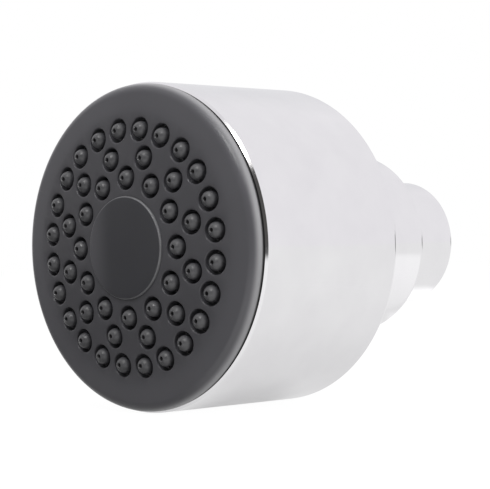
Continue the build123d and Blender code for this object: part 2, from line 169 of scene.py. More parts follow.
# %% A finish and its nodes
class Finish:
    """One material, or the world: its graph, and the node at the end of it."""

    def __init__(self, owner, last, constants=None):
        owner.use_nodes = True
        self.owner = owner
        self.tree = owner.node_tree
        self.last = self.tree.nodes[last]
        self.set(self.last, constants or {})

    def set(self, node, values):
        """Give a node's sockets their values or links."""
        for key, value in values.items():
            if isinstance(value, Wire):
                self.tree.links.new(value.socket, node.inputs[key])
            else:
                node.inputs[key].default_value = value

    def node(self, kind, settings=None, values=None, output=0):
        """Add a node of this kind: its settings first, then its sockets' values or links."""
        added = self.tree.nodes.new(kind)
        for name, value in (settings or {}).items():
            setattr(added, name, value)
        self.set(added, values or {})
        return Wire(self, added.outputs[output])

    def vector(self, operation, values, output=0):
        """Add a Vector Math node. Its outcome is a vector, or a number from its output Value."""
        return self.node("ShaderNodeVectorMath", {"operation": operation}, values, output)

    def place(self):
        """Position on the piece itself, in metres."""
        return self.node("ShaderNodeTexCoord", output="Object")

    def along(self, vector, direction):
        """How far a vector reaches along a direction."""
        return self.vector("DOT_PRODUCT", {0: vector, 1: direction}, "Value")

    def off_axis(self):
        """Distance from the axis of the head, in metres."""
        flat = self.vector("MULTIPLY", {0: self.place(), 1: (1, 0, 1)})
        return self.vector("LENGTH", {0: flat}, "Value")

    def noise(self, size, detail=2.0):
        """Noise from 0 to 1 whose lumps are about this size, in metres."""
        values = {"Vector": self.place(), "Scale": 1.0 / size, "Detail": detail}
        return self.node("ShaderNodeTexNoise", None, values)

    def fade(self, value, start, end):
        """Share that goes smoothly from 0 to 1 as a value goes from start to end."""
        span = {"Value": value, "From Min": start, "From Max": end}
        return self.node("ShaderNodeMapRange", {"interpolation_type": "SMOOTHSTEP"}, span)

    def blend(self, share, first, second):
        """Colour between two colours."""
        return self.node("ShaderNodeMix", {"data_type": "RGBA"}, {0: share, 6: first, 7: second}, 2)

    def bump(self, height, depth):
        """Normal of a surface with this height from 0 to 1, over this depth in metres."""
        return self.node("ShaderNodeBump", None, {"Distance": depth, "Height": height})


def new_finish(name, constants):
    """A new material that ends in a Principled BSDF."""
    return Finish(bpy.data.materials.new(name), "Principled BSDF", constants)


print("Finish has", sum(not name.startswith("_") for name in vars(Finish)), "methods")

# %% [markdown]
# ## Plated metal
# The bell, the collar and the inlet nut are chrome over polished metal or plastic. Chrome is a slightly
# blue-grey mirror. What tells it from a perfect mirror is a faint orange peel left by polishing, and a
# haze of dried water that changes the roughness in soft patches. One noise for each is enough, because
# nearly all that a mirror shows is the room round it.

# %% Chrome
CHROME_HAZED = (0.80, 0.79, 0.81, 1)
CHROME_CLEAR = (0.88, 0.875, 0.885, 1)
HAZE_SIZE = 9 * MM
PEEL_SIZE = 2.2 * MM
PEEL_DEPTH = 0.002 * MM
chrome = new_finish("plated_chrome", {"Metallic": 1.0})
haze = chrome.noise(HAZE_SIZE, 3.0)
chrome.set(chrome.last, {
    "Base Color": chrome.blend(haze, CHROME_HAZED, CHROME_CLEAR),
    "Roughness": 0.05 + 0.07 * haze,
    "Normal": chrome.bump(chrome.noise(PEEL_SIZE), PEEL_DEPTH),
})
print(f"{chrome.owner.name}: haze in patches of {HAZE_SIZE / MM:.0f} mm")

# %% [markdown]
# ## Satin plastic
# The face and the cap in its middle are moulded in charcoal plastic with a fine spark-eroded grain, which
# is why they have a soft sheen and no sharp reflections. The grain is a noise that feeds both the bump
# and the roughness, so that the two agree. The colour comes back separately, because each moulding gets
# its own painted light and shade over its clouds.

# %% Grained plastic
GRAIN_SIZE = 0.22 * MM
CLOUD_SIZE = 14 * MM


def satin_plastic(name, dark, light, grain_depth):
    """Moulded plastic with a fine grain, and its clouded colour, before painted light and shade are laid
    over it.
    """
    plastic = new_finish(name, {"Specular IOR Level": 0.5})
    grain = plastic.noise(GRAIN_SIZE, 4.0)
    plastic.set(plastic.last, {
        "Roughness": 0.28 + 0.10 * grain,
        "Normal": plastic.bump(grain, grain_depth),
    })
    return plastic, plastic.blend(plastic.noise(CLOUD_SIZE), dark, light)


print(f"grain of {GRAIN_SIZE / MM:.2f} mm, clouds of {CLOUD_SIZE / MM:.0f} mm")

# %% [markdown]
# The face is painted paler along its rolled edge: a painted highlight of the light that the roll catches.
# Down in the groove behind the roll it is painted dark, which is painted shade, and among the nozzles it
# is a little darker, also painted shade. All three are fades along Y or away from the axis.

# %% Face plastic
FACE_DARK = (0.058, 0.057, 0.063, 1)
FACE_LIGHT = (0.068, 0.067, 0.074, 1)
FACE_PAINTED_HIGHLIGHT = (0.21, 0.208, 0.215, 1)
GROOVE_PAINTED_SHADE = (0.02, 0.02, 0.02, 1)
BLACK = (0, 0, 0, 1)
FACE_GRAIN = 0.010 * MM
FIELD_SPAN = (34 * MM, 28 * MM)
FIELD_SHADE = 0.25
ROLL_HIGHLIGHT_SPAN = (roll_y - 2.2 * MM, roll_y - 0.9 * MM)
GROOVE_SHADE = (roll_y - 0.5 * MM, roll_y)
face_plastic, clouds_and_painted_light = satin_plastic("face_plastic", FACE_DARK, FACE_LIGHT, FACE_GRAIN)
along_y = face_plastic.along(face_plastic.place(), (0, 1, 0))
# Painted shade: the face is a little darker among the nozzles.
painted_field_shade = face_plastic.fade(face_plastic.off_axis(), *FIELD_SPAN)
painted_edge_highlight = face_plastic.fade(along_y, *ROLL_HIGHLIGHT_SPAN)
# Painted shade down in the groove behind the roll.
groove_painted_shade = face_plastic.fade(along_y, *GROOVE_SHADE)
# Painted shade among the nozzles, a painted highlight along the roll, painted shade in the groove.
clouds_and_painted_light = face_plastic.blend(FIELD_SHADE * painted_field_shade, clouds_and_painted_light, BLACK)
clouds_and_painted_light = face_plastic.blend(painted_edge_highlight, clouds_and_painted_light, FACE_PAINTED_HIGHLIGHT)
clouds_and_painted_light = face_plastic.blend(groove_painted_shade, clouds_and_painted_light, GROOVE_PAINTED_SHADE)
face_plastic.set(face_plastic.last, {"Base Color": clouds_and_painted_light})
print(f"face plastic: worn along its roll, darker inside {FIELD_SPAN[0] / MM:.0f} mm")

# %% [markdown]
# The cap is a separate moulding, darker than the face. It stands a little proud, and its edge is painted
# as a thin pale line, a painted highlight. One side of it is painted nearly as pale as the face, which is
# painted light.

# %% Cap plastic
CAP_DARK = (0.028, 0.028, 0.032, 1)
CAP_LIGHT = (0.034, 0.034, 0.038, 1)
CAP_PAINTED_LIGHT = (0.060, 0.059, 0.065, 1)
CAP_PAINTED_HIGHLIGHT = (0.13, 0.13, 0.135, 1)
CAP_GRAIN = 0.006 * MM
LIGHT_SIDE_SPAN = (0.30 * cap_r, cap_r)
EDGE_HIGHLIGHT_SPAN = (cap_r - 0.35 * MM, cap_r - 0.10 * MM)
cap_plastic, clouds_and_painted_light = satin_plastic("cap_plastic", CAP_DARK, CAP_LIGHT, CAP_GRAIN)
leftward = cap_plastic.along(cap_plastic.place(), (-1, 0, 0))
painted_light_side = cap_plastic.fade(leftward, *LIGHT_SIDE_SPAN)
painted_edge_highlight = cap_plastic.fade(cap_plastic.off_axis(), *EDGE_HIGHLIGHT_SPAN)
# Painted light on the left side of the cap, then a painted highlight along its edge.
clouds_and_painted_light = cap_plastic.blend(painted_light_side, clouds_and_painted_light, CAP_PAINTED_LIGHT)
clouds_and_painted_light = cap_plastic.blend(painted_edge_highlight, clouds_and_painted_light, CAP_PAINTED_HIGHLIGHT)
cap_plastic.set(cap_plastic.last, {"Base Color": clouds_and_painted_light})
print(f"cap plastic: rubbed at a radius of {cap_r / MM:.2f} mm")

# %% [markdown]
# ## Soft rubber
# The nipples are silicone, dark and a little glossy, with the dust that silicone always holds, a noise in
# the colour of the tips. Down in the openings the colour is painted darker with the depth below the dome,
# which is painted shade. A shallow dome falls away with the square of the radius, so that depth is one
# short sum.

# %% Nozzle rubber
RUBBER_PAINTED_SHADE = (0.040, 0.040, 0.044, 1)
RUBBER_DULL = (0.050, 0.050, 0.053, 1)
RUBBER_DUSTY = (0.072, 0.071, 0.074, 1)
DUST_SIZE = 0.5 * MM
DUST_DEPTH = 0.006 * MM
TIP_SPAN = (0.9 * MM, -0.6 * MM)
rubber = new_finish("nozzle_rubber", {"Specular IOR Level": 0.5})
dust = rubber.noise(DUST_SIZE, 5.0)
radius = rubber.off_axis()
fall = radius * radius * (0.5 / DOME_RADIUS)
sunk = rubber.along(rubber.place(), (0, 1, 0)) - apex_y - fall
# Painted shade: darker with the depth below the dome, down in the openings.
at_tip = rubber.fade(sunk, *TIP_SPAN)
tip_colour = rubber.blend(dust, RUBBER_DULL, RUBBER_DUSTY)
rubber.set(rubber.last, {
    "Base Color": rubber.blend(at_tip, RUBBER_PAINTED_SHADE, tip_colour),
    "Roughness": 0.25 + 0.12 * dust,
    "Normal": rubber.bump(dust, DUST_DEPTH),
})
print(f"{rubber.owner.name}: dust of {DUST_SIZE / MM:.1f} mm")

# %% [markdown]
# ## What is inside
# Inside are brass, steel, pale acetal and black seals, and only a look into the inlet reaches any of
# them. They are turned or moulded stock with the same kind of detail: clouds in the colour, fine tool
# marks and an uneven gloss. So one recipe makes them all from a table.

# %% Finishes of the inner pieces
STOCK_CLOUDS = 3 * MM
TOOL_MARKS = 0.15 * MM
MARK_DEPTH = 0.005 * MM
STOCK = {
    "brass": ("turned_brass", (0.55, 0.38, 0.14, 1), (0.70, 0.50, 0.22, 1), 1.0, 0.22),
    "steel": ("stainless_steel", (0.45, 0.45, 0.46, 1), (0.60, 0.60, 0.61, 1), 1.0, 0.25),
    "inner_plastic": ("inner_plastic", (0.55, 0.55, 0.53, 1), (0.66, 0.66, 0.64, 1), 0.0, 0.40),
    "liner_plastic": ("liner_plastic", (0.62, 0.61, 0.58, 1), (0.74, 0.73, 0.70, 1), 0.0, 0.35),
    "seal_rubber": ("seal_rubber", (0.012, 0.012, 0.013, 1), (0.022, 0.022, 0.024, 1), 0.0, 0.50),
}


def plain_stock(name, dark, light, metallic, roughness):
    """A turned or moulded inner part: clouded colour, uneven gloss, fine tool marks."""
    stock = new_finish(name, {"Metallic": metallic})
    marks = stock.noise(TOOL_MARKS)
    stock.set(stock.last, {
        "Base Color": stock.blend(stock.noise(STOCK_CLOUDS, 3.0), dark, light),
        "Roughness": roughness + 0.12 * marks,
        "Normal": stock.bump(marks, MARK_DEPTH),
    })
    return stock


finishes = {
    "plated_shell": chrome,
    "face_plastic": face_plastic,
    "cap_plastic": cap_plastic,
    "nozzle_rubber": rubber,
}
for slot, recipe in STOCK.items():
    finishes[slot] = plain_stock(*recipe)
print(len(finishes), "finishes:", ", ".join(finishes))

# %% [markdown]
# ## Turning
# Almost every piece is turned: a section in the plane of radius and Y, swept round the axis. `rounded`
# takes the section's corners and gives each the small radius that a real edge has, because a bright
# line along that radius is what makes an edge look real. It also puts a point a little before and after
# each radius: smooth shading bends over a whole face, and without them a straight side would mirror the
# room as a barrel does. A Bevel modifier would round every edge alike, and here each has its own radius.

# %% Sections
HAIR = 0.1 * MM
FINE = 0.2 * MM
SMALL = 0.3 * MM


def rounded(corners, steps=6):
    """Section from corners (radius, y) or (radius, y, rounding)."""
    points = []
    for before, corner, after in zip(corners[-1:] + corners[:-1], corners, corners[1:] + corners[:1]):
        here = Vector(corner[:2])
        if len(corner) == 2:
            points.append(here)
            continue
        rounding = corner[2]
        back = (Vector(before[:2]) - here).normalized()
        ahead = (Vector(after[:2]) - here).normalized()
        half = back.angle(ahead) / 2
        centre = here + (back + ahead).normalized() * rounding / math.sin(half)
        reach = rounding / math.tan(half)
        hold = reach + rounding / 4
        start = here + back * reach - centre
        end = here + ahead * reach - centre
        points.append(here + back * hold)
        for step in range(steps + 1):
            points.append(centre + start.lerp(end, step / steps).normalized() * rounding)
        points.append(here + ahead * hold)
    return points


def arc(centre, radius, start, end, steps):
    """Points of an arc in a section, between two angles in degrees from the radius towards +Y."""
    angles = [math.radians(start + (end - start) * step / steps) for step in range(steps + 1)]
    return [(centre[0] + radius * math.cos(a), centre[1] + radius * math.sin(a)) for a in angles]


print("an edge as cut, as turned and as broken by hand:", [round(r / MM, 1) for r in (HAIR, FINE, SMALL)])

# %% [markdown]
# The lathe itself: every point of the section becomes a ring of vertices, and neighbouring rings are
# joined by faces. Blender's Screw modifier does the same, but a mesh made in code can be welded to other
# parts of a piece, such as the thread of the inlet.

# %% Lathe
WELD = 1e-7


def round_axis(radius, y, angle):
    """Point at this radius and place along Y, turned by an angle round the axis."""
    return Vector((radius * math.cos(angle), y, radius * math.sin(angle)))


def bridge(bm, near, far):
    """Join two rings of vertices by faces. A ring of one vertex is a point on the axis."""
    around = max(len(near), len(far))
    for k in range(around):
        after = (k + 1) % around
        low = [near[k % len(near)], near[after % len(near)]]
        high = [far[after % len(far)], far[k % len(far)]]
        bm.faces.new(list(dict.fromkeys(low + high)))


def turn(bm, section, around, closed=True, place=Matrix()):
    """Sweep a section of (radius, y) points round the Y axis into a mesh."""
    rings = []
    for radius, y in section:
        angles = [2 * math.pi * k / around for k in range(around if radius > WELD else 1)]
        rings.append([bm.verts.new(place @ round_axis(radius, y, angle)) for angle in angles])
    ends = rings[1:] + rings[:1] if closed else rings[1:]
    for near, far in zip(rings, ends):
        bridge(bm, near, far)


print(f"points nearer than {WELD / MM:.4f} mm are one")

# %% [markdown]
# A finished mesh becomes a piece in one place: it is welded, shaded smooth except across sharp edges,
# given its finish, and hung on the body that carries it, in place of the CAD nodes it stands for.

# %% Mesh to piece
SHARP_ANGLE = 38


def piece(name, bm, body, slot, *nodes):
    """Turn a mesh into a finished piece that rides on a body and stands for its CAD nodes."""
    bmesh.ops.remove_doubles(bm, verts=bm.verts, dist=WELD)
    bmesh.ops.recalc_face_normals(bm, faces=bm.faces)
    mesh = bpy.data.meshes.new(name)
    bm.to_mesh(mesh)
    bm.free()
    mesh.polygons.foreach_set("use_smooth", [True] * len(mesh.polygons))
    mesh.set_sharp_from_angle(angle=math.radians(SHARP_ANGLE))
    mesh.materials.append(finishes[slot].owner)
    made = bpy.data.objects.new(name, mesh)
    bpy.context.collection.objects.link(made)
    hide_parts(*nodes)
    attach(made, body)
    print(f"{name}: {len(mesh.polygons)} faces")


print("edges over", SHARP_ANGLE, "degrees stay sharp")

# %% [markdown]
# ## Bell
# A straight shell with a bevelled rim in front and a cone behind, spun or drawn from sheet and plated.
# The bevel is the thin line between the dark face and the bright side: it mirrors the room in front of
# the head, where the side mirrors only what is behind. One closed section gives the shell its wall.

# %% Bell shell
SHELL_AROUND = 256
BELL_LENGTH = 44.9 * MM
BELL_WALL = 1.6 * MM
BELL_BEVEL = 0.55 * MM
BELL_ROUND = 1.0 * MM
LEDGE = 0.8 * MM
INNER_LEDGE = 0.6 * MM
INNER_EDGE = 0.7 * MM
COLLAR_WALL = 2.3 * MM
bell_edge = bell_low.y + BELL_LENGTH
bell_back = bell_high.y
bell_bore = bell_r - BELL_WALL
ledge_r = collar_r + LEDGE
neck_r = collar_r - COLLAR_WALL
bm = bmesh.new()
turn(bm, rounded([
    (bell_bore, bell_low.y, HAIR),
    (bell_r - BELL_BEVEL, bell_low.y, HAIR),
    (bell_r, bell_low.y + BELL_BEVEL, HAIR),
    (bell_r, bell_edge, BELL_ROUND),
    (ledge_r, bell_back, SMALL),
    (neck_r, bell_back, FINE),
    (neck_r, bell_back - BELL_WALL, FINE),
    (ledge_r - INNER_LEDGE, bell_back - BELL_WALL, SMALL),
    (bell_bore, bell_edge - INNER_EDGE, BELL_ROUND / 2),
]), SHELL_AROUND)
piece("bell", bm, "head", "plated_shell", "bell_shell")

# %% [markdown]
# ## Collar
# The collar screws onto the ball cup and keeps the ball in it. Its mouth flares, so that the stem of the
# ball can lean any way. Inside is the pocket for the slip ring. It is one closed section again.

# %% Collar nut
COLLAR_ROUND = 1.0 * MM
COLLAR_MOUTH = 11.5 * MM
MOUTH_FLARE = 1.2 * MM
LIP_THICKNESS = 1.5 * MM
POCKET_RADIUS = 18.15 * MM
POCKET_DEPTH = 4.2 * MM
collar_back = collar_high.y
lip_front = collar_back - LIP_THICKNESS
pocket_front = lip_front - POCKET_DEPTH
bm = bmesh.new()
turn(bm, rounded([
    (neck_r, collar_low.y, FINE),
    (collar_r, collar_low.y, SMALL),
    (collar_r, collar_back, COLLAR_ROUND),
    (COLLAR_MOUTH + MOUTH_FLARE, collar_back, SMALL),
    (COLLAR_MOUTH, lip_front, FINE),
    (POCKET_RADIUS, lip_front, FINE),
    (POCKET_RADIUS, pocket_front, FINE),
    (neck_r, pocket_front, FINE),
]), SHELL_AROUND)
piece("collar", bm, "head", "plated_shell", "collar_nut")

# %% [markdown]
# ## Thread of the inlet
# The inlet nut screws onto the shower arm by a half-inch pipe thread. A row of rings would look like one
# from far away, but a look from behind goes straight into it, so it is a real helix. Its profile is four
# points long and is repeated along Y, and each lap ends where the next begins. Towards both ends the
# groove gets shallower, so that it runs out into the plain wall.

# %% Helical groove
NUT_AROUND = 192
THREAD_RADIUS = 9.3 * MM
THREAD_LENGTH = 11.0 * MM
THREAD_DEPTH = 1.0 * MM
PITCH = 1.814 * MM
PROFILE = [(0.1, 1.0), (0.4, 0.0), (0.6, 0.0), (0.9, 1.0)]
thread_end = -THREAD_LENGTH
nut_angles = [2 * math.pi * k / NUT_AROUND for k in range(NUT_AROUND)]


def cut_thread(bm):
    """Helical groove in the wall of the bore, shallower towards both ends."""
    ends = {}
    for y in (0.0, thread_end):
        ends[y] = [bm.verts.new(round_axis(THREAD_RADIUS, y, angle)) for angle in nut_angles]
    made = {}

    def corner(row, k):
        """Vertex of a row of the helix at one of its steps round the axis."""
        if k == NUT_AROUND:
            row, k = row - len(PROFILE), 0
        if (row, k) in made:
            return made[row, k]
        lap, step = divmod(row, len(PROFILE))
        share, depth = PROFILE[step]
        y = (lap + share - k / NUT_AROUND) * PITCH + thread_end
        if y <= thread_end:
            made[row, k] = ends[thread_end][k]
        elif y >= 0:
            made[row, k] = ends[0.0][k]
        else:
            depth *= THREAD_DEPTH * min(1.0, -y / PITCH, (y - thread_end) / PITCH)
            made[row, k] = bm.verts.new(round_axis(THREAD_RADIUS + depth, y, nut_angles[k]))
        return made[row, k]

    laps = math.ceil(THREAD_LENGTH / PITCH) + 2
    for row in range(-len(PROFILE), laps * len(PROFILE)):
        for k in range(NUT_AROUND):
            low = [corner(row, k), corner(row, k + 1)]
            high = [corner(row + 1, k + 1), corner(row + 1, k)]
            face = list(dict.fromkeys(low + high))
            if len(face) > 2:
                bm.faces.new(face)


print(f"{THREAD_LENGTH / PITCH:.1f} laps of thread")

# %% [markdown]
# ## Inlet nut
# The nut and the hollow stem that goes through the collar's mouth are one turning. Its section is left
# open along the thread, and the helix closes it when the piece is welded.

# %% Inlet nut and its stem
NUT_LENGTH = 15.25 * MM
NUT_ROUND = 0.8 * MM
LEAD_IN = 0.6 * MM
STEM_RADIUS = 7.5 * MM
STEM_ROOT = 0.6 * MM
SPIGOT_RADIUS = 6.5 * MM
SPIGOT_LENGTH = 19.8 * MM
WATER_RADIUS = 4.2 * MM
REGULATOR_RADIUS = 5.25 * MM
REGULATOR_DEPTH = 5.0 * MM
WASHER_RADIUS = 9.85 * MM
WASHER_DEPTH = 2.0 * MM
nut_front = nut_high.y - NUT_LENGTH
stem_end = nut_low.y
spigot_back = stem_end + SPIGOT_LENGTH
washer_floor = thread_end - WASHER_DEPTH
regulator_floor = washer_floor - REGULATOR_DEPTH
bm = bmesh.new()
cut_thread(bm)
turn(bm, rounded([
    (THREAD_RADIUS, 0.0),
    (THREAD_RADIUS + LEAD_IN, nut_high.y, FINE),
    (nut_r, nut_high.y, NUT_ROUND),
    (nut_r, nut_front, NUT_ROUND),
    (STEM_RADIUS, nut_front, STEM_ROOT),
    (STEM_RADIUS, spigot_back),
    (SPIGOT_RADIUS, spigot_back),
    (SPIGOT_RADIUS, stem_end, SMALL),
    (WATER_RADIUS, stem_end, SMALL),
    (WATER_RADIUS, regulator_floor),
    (REGULATOR_RADIUS, regulator_floor),
    (REGULATOR_RADIUS, washer_floor, FINE),
    (WASHER_RADIUS, washer_floor),
    (WASHER_RADIUS, thread_end),
    (THREAD_RADIUS, thread_end),
]), NUT_AROUND, closed=False)
piece("inlet", bm, "connector", "plated_shell", "inlet_nut")

# %% [markdown]
# ## Filter
# A disc of woven steel wire in a rim keeps grit out of the nozzles. It lies at the bottom of the inlet,
# and a look from behind goes straight to it. The wires are real ones, each going over and under those
# that cross it, because a painted weave would be flat in a close view.

# %% Wire of the weave
WIRE_PITCH = 0.9 * MM
WIRE_RADIUS = 0.13 * MM
WIRE_SWING = 0.14 * MM
WIRE_TUCK = 0.4 * MM
WIRE_SIDES = 6
WIRE_STEPS = 6
SIEVE_RIM = 1.3 * MM
WEAVE_RISE = 0.3 * MM
sieve_low, sieve_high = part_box("filter_screen")
weave_r = sieve_high.x - SIEVE_RIM
weave_y = sieve_low.y + WEAVE_RISE


def woven_wire(bm, number, across):
    """One wire of the weave. Wires across run along Z, the others along X."""
    offset = number * WIRE_PITCH
    half = math.sqrt((weave_r + WIRE_TUCK) ** 2 - offset**2)
    count = 2 * math.ceil(half / WIRE_PITCH * WIRE_STEPS)
    swing = -WIRE_SWING if across else WIRE_SWING
    rings = []
    for step in range(count + 1):
        run = half * (2 * step / count - 1)
        phase = math.pi * (run / WIRE_PITCH + number)
        rise = weave_y + swing * math.cos(phase)
        tilt = math.atan(-swing * math.pi / WIRE_PITCH * math.sin(phase))
        ring = []
        for side in range(WIRE_SIDES):
            angle = 2 * math.pi * side / WIRE_SIDES
            up = WIRE_RADIUS * math.sin(angle)
            beside = offset + WIRE_RADIUS * math.cos(angle)
            ahead = run - up * math.sin(tilt)
            y = rise + up * math.cos(tilt)
            ring.append(bm.verts.new((beside, y, ahead) if across else (ahead, y, beside)))
        rings.append(ring)
    for near, far in zip(rings, rings[1:]):
        bridge(bm, near, far)
    bm.faces.new(rings[0])
    bm.faces.new(rings[-1])


last_wire = int(weave_r / WIRE_PITCH)
print(2 * last_wire + 1, "wires each way")

# %% Woven filter
SIEVE_AROUND = 96
bm = bmesh.new()
turn(bm, rounded([
    (weave_r, sieve_low.y, HAIR),
    (sieve_high.x, sieve_low.y, HAIR),
    (sieve_high.x, sieve_high.y, SMALL),
    (weave_r, sieve_high.y, SMALL),
], 3), SIEVE_AROUND)
for number in range(-last_wire, last_wire + 1):
    woven_wire(bm, number, across=False)
    woven_wire(bm, number, across=True)
piece("woven_filter", bm, "connector", "steel", "filter_screen")

# %% [markdown]
# ## Face
# The face is one moulding: a shallow dome with 48 openings, a rolled edge that meets the bell, and a
# skirt inside it. Round openings in a round plate don't fit a grid, and cutting them with booleans leaves
# slivers that spoil the shading. So the flat pattern of the plate is triangulated between its outlines,
# and then lifted onto the dome. Points on rings in between keep the triangles even.

# %% Outlines of the flat pattern
FACE_AROUND = 192
HOLE_STEPS = 32
HOLE_RADIUS = 2.75 * MM
LIP = 0.4 * MM
FACE_EDGE = 2.8 * MM
CAP_PLAY = 0.05 * MM
FILL_RINGS = 12
FILL_AROUND = 96
middle_of_face = Vector((0, 0))
mouth_r = HOLE_RADIUS + LIP
plate_in = cap_r + CAP_PLAY
roll_centre_r = face_r - FACE_EDGE
plate_out = roll_centre_r * DOME_RADIUS / (DOME_RADIUS - FACE_EDGE)


def ring_points(centre, radius, count):
    """Points of a circle in the flat pattern."""
    angles = [2 * math.pi * k / count for k in range(count)]
    return [centre + radius * Vector((math.cos(a), math.sin(a))) for a in angles]


def loop_edges(first, count):
    """Edges that close a loop of consecutive points."""
    return [(first + k, first + (k + 1) % count) for k in range(count)]


def nearest_nozzle(point):
    """Distance from a point of the pattern to the nozzle next to it."""
    return min((point - centre).length for centre in nozzles)


pattern = []
edges = []
for radius in (plate_in, plate_out):
    edges += loop_edges(len(pattern), FACE_AROUND)
    pattern += ring_points(middle_of_face, radius, FACE_AROUND)
hole_start = len(pattern)
for centre in nozzles:
    edges += loop_edges(len(pattern), HOLE_STEPS)
    pattern += ring_points(centre, mouth_r, HOLE_STEPS)
hole_end = len(pattern)
for step in range(1, FILL_RINGS):
    radius = plate_in + (plate_out - plate_in) * step / FILL_RINGS
    ring = ring_points(middle_of_face, radius, FILL_AROUND)
    pattern += [point for point in ring if nearest_nozzle(point) > HOLE_RADIUS + 3 * LIP]
print(len(pattern), "points in the pattern")

# %% [markdown]
# The triangulation also fills the openings. A triangle belongs to the plate if its middle lies outside
# every one of them. An outline is made of chords, which lie a little inside their circle, and the two
# slack values allow for that.

# %% Triangles of the plate
HOLE_SLACK = 0.9945
BORE_SLACK = 0.9998
SAME_POINT = 1e-9
flat, _, triangles, _, _, _ = delaunay_2d_cdt(pattern, edges, [], 0, SAME_POINT)


def in_plate(triangle):
    """Whether a triangle of the pattern lies outside every opening."""
    middle = sum((flat[index] for index in triangle), Vector((0, 0))) / 3
    return nearest_nozzle(middle) > mouth_r * HOLE_SLACK and middle.length > plate_in * BORE_SLACK


plate = [triangle for triangle in triangles if in_plate(triangle)]
print(len(plate), "of", len(triangles), "triangles are plate")

# %% [markdown]
# Each triangle makes two faces, one on the dome in front and one on the flat back. The openings narrow
# over a small rounded lip, which catches the light round each nipple, and go straight down from there.

# %% Plate and openings
MAT_THICKNESS = 1.5 * MM
LIP_STEPS = 4
face_back = mat_high.y - MAT_THICKNESS
bm = bmesh.new()
front = [bm.verts.new((point.x, dome_at(point.length), point.y)) for point in flat]
back = []
for index, point in enumerate(flat):
    if hole_start <= index < hole_end:
        centre = nozzles[(index - hole_start) // HOLE_STEPS]
        point = centre + (point - centre) * HOLE_RADIUS / mouth_r
    back.append(bm.verts.new((point.x, face_back, point.y)))
for a, b, c in plate:
    bm.faces.new((front[a], front[b], front[c]))
    bm.faces.new((back[c], back[b], back[a]))

for hole, centre in enumerate(nozzles):
    own = slice(hole_start + hole * HOLE_STEPS, hole_start + (hole + 1) * HOLE_STEPS)
    rings = [front[own]]
    for step in range(1, LIP_STEPS + 1):
        angle = math.radians(90 * step / LIP_STEPS)
        reach = (mouth_r - LIP * math.sin(angle)) / mouth_r
        sink = LIP * (1 - math.cos(angle))
        ring = []
        for point in flat[own]:
            here = centre + (point - centre) * reach
            ring.append(bm.verts.new((here.x, dome_at(point.length) + sink, here.y)))
        rings.append(ring)
    rings.append(back[own])
    for near, far in zip(rings, rings[1:]):
        bridge(bm, near, far)
print(f"{len(nozzles)} openings with lips of {LIP / MM:.1f} mm")

# %% [markdown]
# The roll, the groove and the skirt close the plate round its outside, and the seat of the cap with its
# screw boss closes it in the middle. Both are turned as open sections into the same mesh.

# %% Rolled edge, skirt and cap seat
ROLL_STEPS = 16
GROOVE_DEPTH = 0.9 * MM
SKIRT_PLAY = 0.15 * MM
SKIRT_LENGTH = 6.0 * MM
CAP_DEPTH = 1.4 * MM
BOSS_BORE = 6.05 * MM
BOSS_FLOOR = 2.4 * MM
BOSS_RADIUS = 8.5 * MM
SCREW_HOLE = 1.9 * MM
roll_start = math.degrees(math.asin(plate_out / DOME_RADIUS)) - 90
groove_r = face_r - GROOVE_DEPTH
skirt_r = bell_bore - SKIRT_PLAY
skirt_back = bell_low.y + SKIRT_LENGTH
turn(bm, arc((roll_centre_r, roll_y), FACE_EDGE, roll_start, 0, ROLL_STEPS) + [
    (groove_r, roll_y),
    (groove_r, bell_low.y),
    (skirt_r, bell_low.y),
    (skirt_r, skirt_back),
    (skirt_r - BELL_WALL, skirt_back),
    (skirt_r - BELL_WALL, face_back),
    (plate_out, face_back),
], FACE_AROUND, closed=False)
cap_seat = apex_y + CAP_DEPTH
boss_floor = face_high.y - BOSS_FLOOR
turn(bm, [
    (plate_in, dome_at(plate_in)),
    (plate_in, cap_seat),
    (BOSS_BORE, cap_seat),
    (BOSS_BORE, boss_floor),
    (SCREW_HOLE, boss_floor),
    (SCREW_HOLE, face_high.y),
    (BOSS_RADIUS, face_high.y),
    (BOSS_RADIUS, face_back),
    (plate_in, face_back),
], FACE_AROUND, closed=False)
bmesh.ops.delete(bm, geom=[vertex for vertex in bm.verts if not vertex.link_faces], context="VERTS")
piece("spray_face", bm, "head", "face_plastic", "faceplate")

# %% [markdown]
# ## Nozzles
# All 48 nipples stand on one sheet of silicone behind the face, so that lime can be rubbed off with a
# thumb. Each is a small dome with a fine outlet. They all have the same section and are turned one by
# one at their places, each sunk a little into the sheet, so that nothing gapes between the two.

